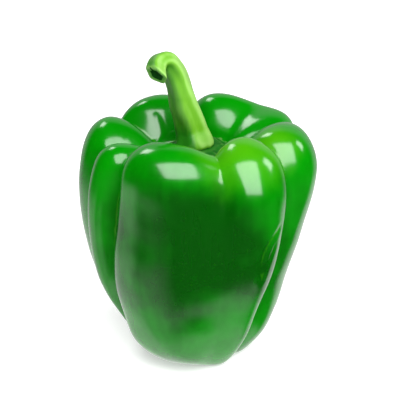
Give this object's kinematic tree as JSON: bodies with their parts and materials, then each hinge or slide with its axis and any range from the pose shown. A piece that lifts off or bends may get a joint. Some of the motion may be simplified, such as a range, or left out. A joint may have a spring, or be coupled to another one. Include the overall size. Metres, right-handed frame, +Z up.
{
  "type": "bell pepper",
  "caption": "Blocky green bell pepper: lobed fruit with a hollow between its shoulders, a ragged calyx and a ribbed, hooked stem, standing on the tips of its lobes.",
  "frame": {"origin": "bottom centre of the bounding box, on the surface the pepper stands on", "axes": "+Z up along the core towards the stem, -Y towards the broad front lobe, +X to the right"},
  "size_m": [0.0904, 0.0822, 0.1229],
  "materials": {
    "skin": "waxy, glossy deep green skin, yellower on the shoulders",
    "calyx": "dull mid green, paler towards the stem",
    "stem": "satin yellow-green with pale ribs and a dark cut end"
  },
  "bodies": {
    "root": {"fruit": "skin", "calyx": "calyx", "stem": "stem"}
  },
  "joints": []
}
